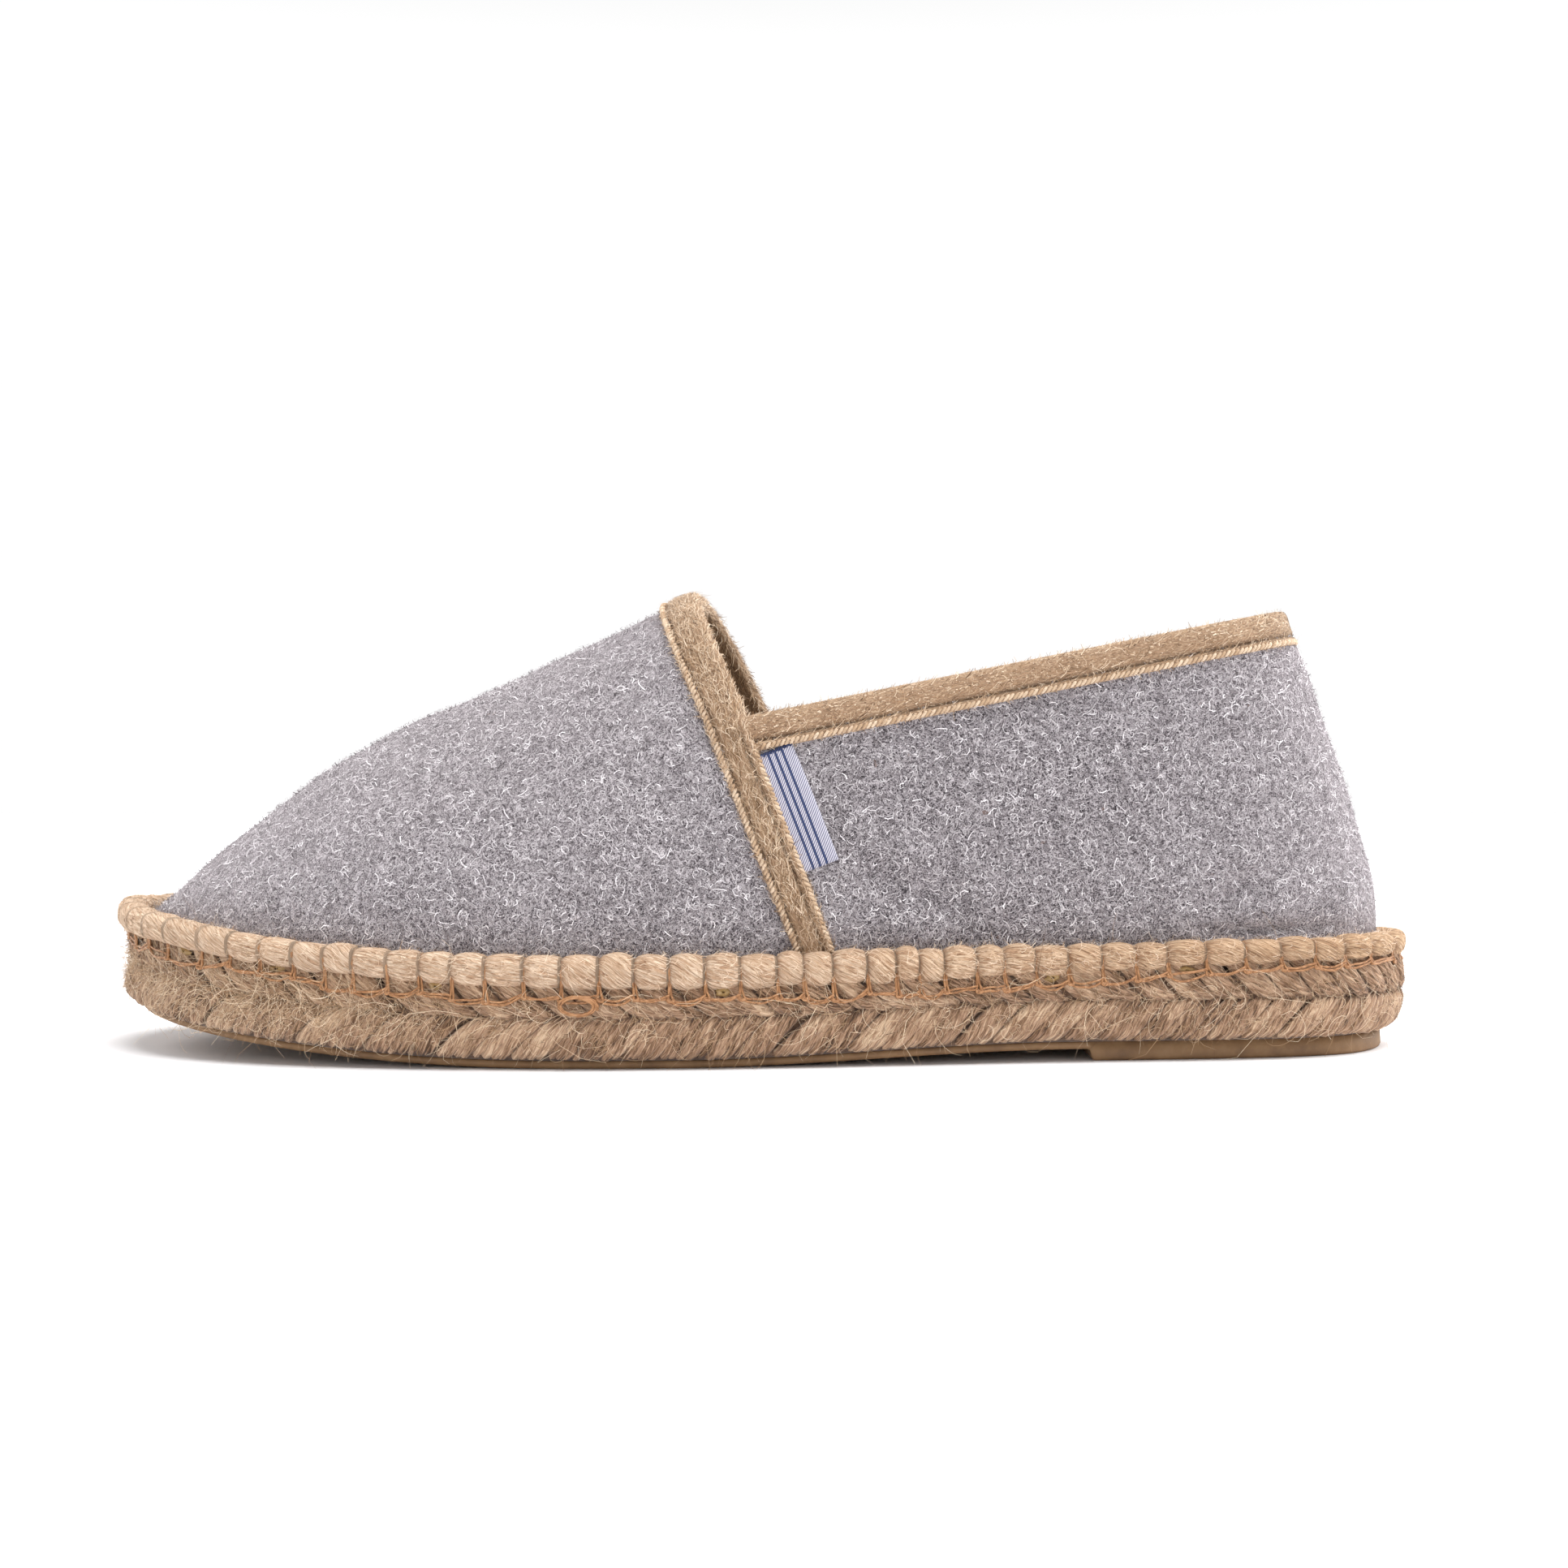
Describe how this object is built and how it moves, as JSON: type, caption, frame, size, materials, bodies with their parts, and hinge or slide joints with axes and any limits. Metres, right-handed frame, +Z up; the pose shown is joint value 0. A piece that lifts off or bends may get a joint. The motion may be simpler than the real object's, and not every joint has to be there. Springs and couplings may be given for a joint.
{
  "type": "espadrille slipper",
  "caption": "Low slip-on espadrille for a left foot: soft suede upper with taped throat and collar, sewn to a braided rope sole with an edge cord and a thin rubber outsole.",
  "frame": {"origin": "on the floor under the middle of the shoe's bounding box", "axes": "+X from toe to heel, -Y to the outer side of the foot, +Z up"},
  "size_m": [0.274, 0.0966, 0.0965],
  "materials": {
    "rubber": "matt moulded rubber",
    "jute": "braided jute rope with loose fibres",
    "cord": "soft loosely spun cotton cord",
    "insole_cloth": "plain woven cotton",
    "suede": "brushed split suede with a short nap",
    "tape": "brushed cotton tape",
    "tag": "fine woven ribbon"
  },
  "bodies": {
    "root": {"outsole": "rubber", "rope_sole": "jute", "edge_cord": "cord", "insole": "insole_cloth", "upper": "suede", "vamp_tape": "tape", "collar_tape": "tape", "side_tag": "tag"}
  },
  "joints": []
}
